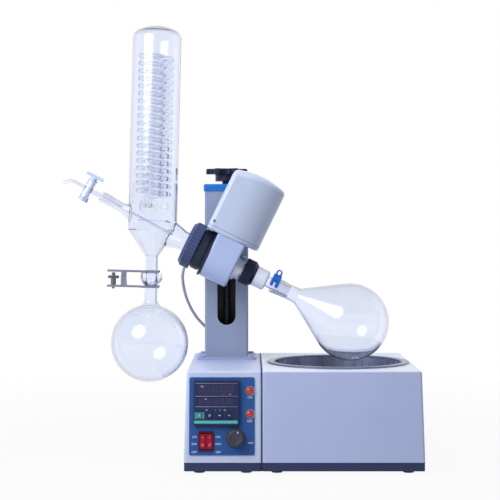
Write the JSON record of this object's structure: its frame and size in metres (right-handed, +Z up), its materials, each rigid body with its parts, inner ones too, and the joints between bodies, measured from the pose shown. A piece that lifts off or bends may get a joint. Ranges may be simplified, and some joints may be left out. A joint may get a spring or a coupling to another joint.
{
  "type": "rotary evaporator",
  "caption": "Bench rotary evaporator: control box with a lift column, heated water bath, tilted drive head, rotating flask, vertical coil condenser and receiving flask.",
  "frame": {"origin": "on the bench, under the middle of the whole instrument", "axes": "+Z up; the operator and the control panel are at -Y; the flask and the bath are at +X, the condenser at -X"},
  "size_m": [0.5894, 0.3686, 0.7244],
  "materials": {
    "housing_paint": "satin powder coat",
    "column_paint": "satin powder coat",
    "tray_paint": "satin",
    "head_paint": "satin",
    "black_plastic": "matte",
    "blue_plastic": "satin",
    "white_plastic": "satin",
    "red_plastic": "gloss",
    "grey_plastic": "satin",
    "panel_blue": "satin",
    "foot_rubber": "matte",
    "cable_sheath": "satin",
    "steel": "brushed",
    "aluminium": "turned",
    "glass": "clear",
    "pulley_plastic": "matte",
    "belt_rubber": "matte",
    "board_green": "satin"
  },
  "bodies": {
    "base": {"control_housing": "housing_paint", "bath_housing": "housing_paint", "box_trays": "tray_paint", "feet": "foot_rubber", "column_flange": "column_paint", "flange_bolts": "steel", "column_tube": "column_paint", "screw_bearings": "black_plastic", "column_cap": "blue_plastic", "control_panel": "panel_blue", "temperature_meter": "grey_plastic", "rocker_frame": "black_plastic", "control_electronics": "board_green", "power_inlet": "black_plastic", "bath_pot": "steel", "heater_ring": "steel", "temperature_probe": "steel", "lower_gland": "black_plastic", "motor_cable": "cable_sheath"},
    "lift_handle": {"lift_knob": "black_plastic", "lead_screw": "steel"},
    "head": {"carriage": "aluminium", "head_arm": "steel", "gear_case": "head_paint", "shaft_bearings": "steel", "motor_pan": "head_paint", "motor_cover": "head_paint", "drive_motor": "aluminium", "drive_belt": "belt_rubber", "condenser_flange": "black_plastic", "shaft_seal": "white_plastic", "union_nut": "black_plastic", "bearing_collar": "aluminium", "condenser_glass": "glass", "condenser_coil": "glass", "feed_valve": "glass", "receiving_flask": "glass", "clamp_fork": "steel", "upper_gland": "black_plastic"},
    "flask_drive": {"hollow_shaft": "steel", "shaft_pulley": "pulley_plastic", "vapour_duct": "glass", "eject_nut": "black_plastic", "duct_sleeve": "white_plastic", "evaporating_flask": "glass", "joint_clip": "blue_plastic"},
    "motor_rotor": {"motor_pulley": "steel"},
    "stopcock": {"stopcock_key": "glass", "stopcock_nut": "white_plastic"},
    "jaw": {"clamp_jaw": "steel"},
    "jaw_screw": {"clamp_screw": "steel"},
    "meter_key_1_body": {"meter_key_1": "white_plastic"},
    "meter_key_2_body": {"meter_key_2": "white_plastic"},
    "meter_key_3_body": {"meter_key_3": "white_plastic"},
    "meter_key_4_body": {"meter_key_4": "white_plastic"},
    "start_button_body": {"start_button": "red_plastic"},
    "stop_button_body": {"stop_button": "red_plastic"},
    "rotation_switch_body": {"rotation_switch": "red_plastic"},
    "heating_switch_body": {"heating_switch": "red_plastic"},
    "speed_dial_body": {"speed_dial": "black_plastic"}
  },
  "joints": [
    {"name": "lift", "type": "slide", "parent": "base", "child": "head", "axis": [0, 0, 1], "range_m": [-0.1, 0.03], "deforming": ["motor_cable"]},
    {"name": "lift_turn", "type": "hinge", "parent": "base", "child": "lift_handle", "pos_m": [-0.0206, 0.09408, 0.45], "axis": [0, 0, 1], "range_deg": [-541, 1801]},
    {"name": "flask_spin", "type": "hinge", "parent": "head", "child": "flask_drive", "pos_m": [-0.0266, -0.00292, 0.333], "axis": [0.8988, 0, -0.4384], "continuous": true},
    {"name": "motor_spin", "type": "hinge", "parent": "head", "child": "motor_rotor", "pos_m": [0.01066, -0.00292, 0.4094], "axis": [0.8988, 0, -0.4384], "continuous": true},
    {"name": "stopcock_turn", "type": "hinge", "parent": "head", "child": "stopcock", "pos_m": [-0.25115, -0.00292, 0.45134], "axis": [0.4772, 0, 0.8788], "range_deg": [-90, 90]},
    {"name": "jaw_open", "type": "hinge", "parent": "head", "child": "jaw", "pos_m": [-0.19182, -0.00292, 0.30144], "axis": [0, -1, 0], "range_deg": [0, 3]},
    {"name": "jaw_screw_turn", "type": "hinge", "parent": "head", "child": "jaw_screw", "pos_m": [-0.20942, -0.00292, 0.30189], "axis": [0.0257, 0, 0.9997], "range_deg": [-180, 180]},
    {"name": "key_1_press", "type": "slide", "parent": "base", "child": "meter_key_1_body", "axis": [0, 0.9881, -0.1537], "range_m": [0, 0.0008], "stiffness_N_per_m": 500},
    {"name": "key_2_press", "type": "slide", "parent": "base", "child": "meter_key_2_body", "axis": [0, 0.9881, -0.1537], "range_m": [0, 0.0008], "stiffness_N_per_m": 500},
    {"name": "key_3_press", "type": "slide", "parent": "base", "child": "meter_key_3_body", "axis": [0, 0.9881, -0.1537], "range_m": [0, 0.0008], "stiffness_N_per_m": 500},
    {"name": "key_4_press", "type": "slide", "parent": "base", "child": "meter_key_4_body", "axis": [0, 0.9881, -0.1537], "range_m": [0, 0.0008], "stiffness_N_per_m": 500},
    {"name": "start_button_press", "type": "slide", "parent": "base", "child": "start_button_body", "axis": [0, 0.9881, -0.1537], "range_m": [0, 0.0025], "stiffness_N_per_m": 400},
    {"name": "stop_button_press", "type": "slide", "parent": "base", "child": "stop_button_body", "axis": [0, 0.9881, -0.1537], "range_m": [0, 0.0025], "stiffness_N_per_m": 400},
    {"name": "rotation_switch_rock", "type": "hinge", "parent": "base", "child": "rotation_switch_body", "pos_m": [-0.0543, -0.16625, 0.05193], "axis": [-1, 0, 0], "range_deg": [0, 16]},
    {"name": "heating_switch_rock", "type": "hinge", "parent": "base", "child": "heating_switch_body", "pos_m": [-0.0435, -0.16625, 0.05193], "axis": [-1, 0, 0], "range_deg": [0, 16]},
    {"name": "speed_dial_turn", "type": "hinge", "parent": "base", "child": "speed_dial_body", "pos_m": [-0.0027, -0.16554, 0.05653], "axis": [0, 0.9881, -0.1537], "range_deg": [0, 270]}
  ],
  "couplings": [
    {"joint": "lift_turn", "follows": "lift", "rad_per_m": -314.16},
    {"joint": "motor_spin", "follows": "flask_spin", "ratio": 2.5}
  ]
}
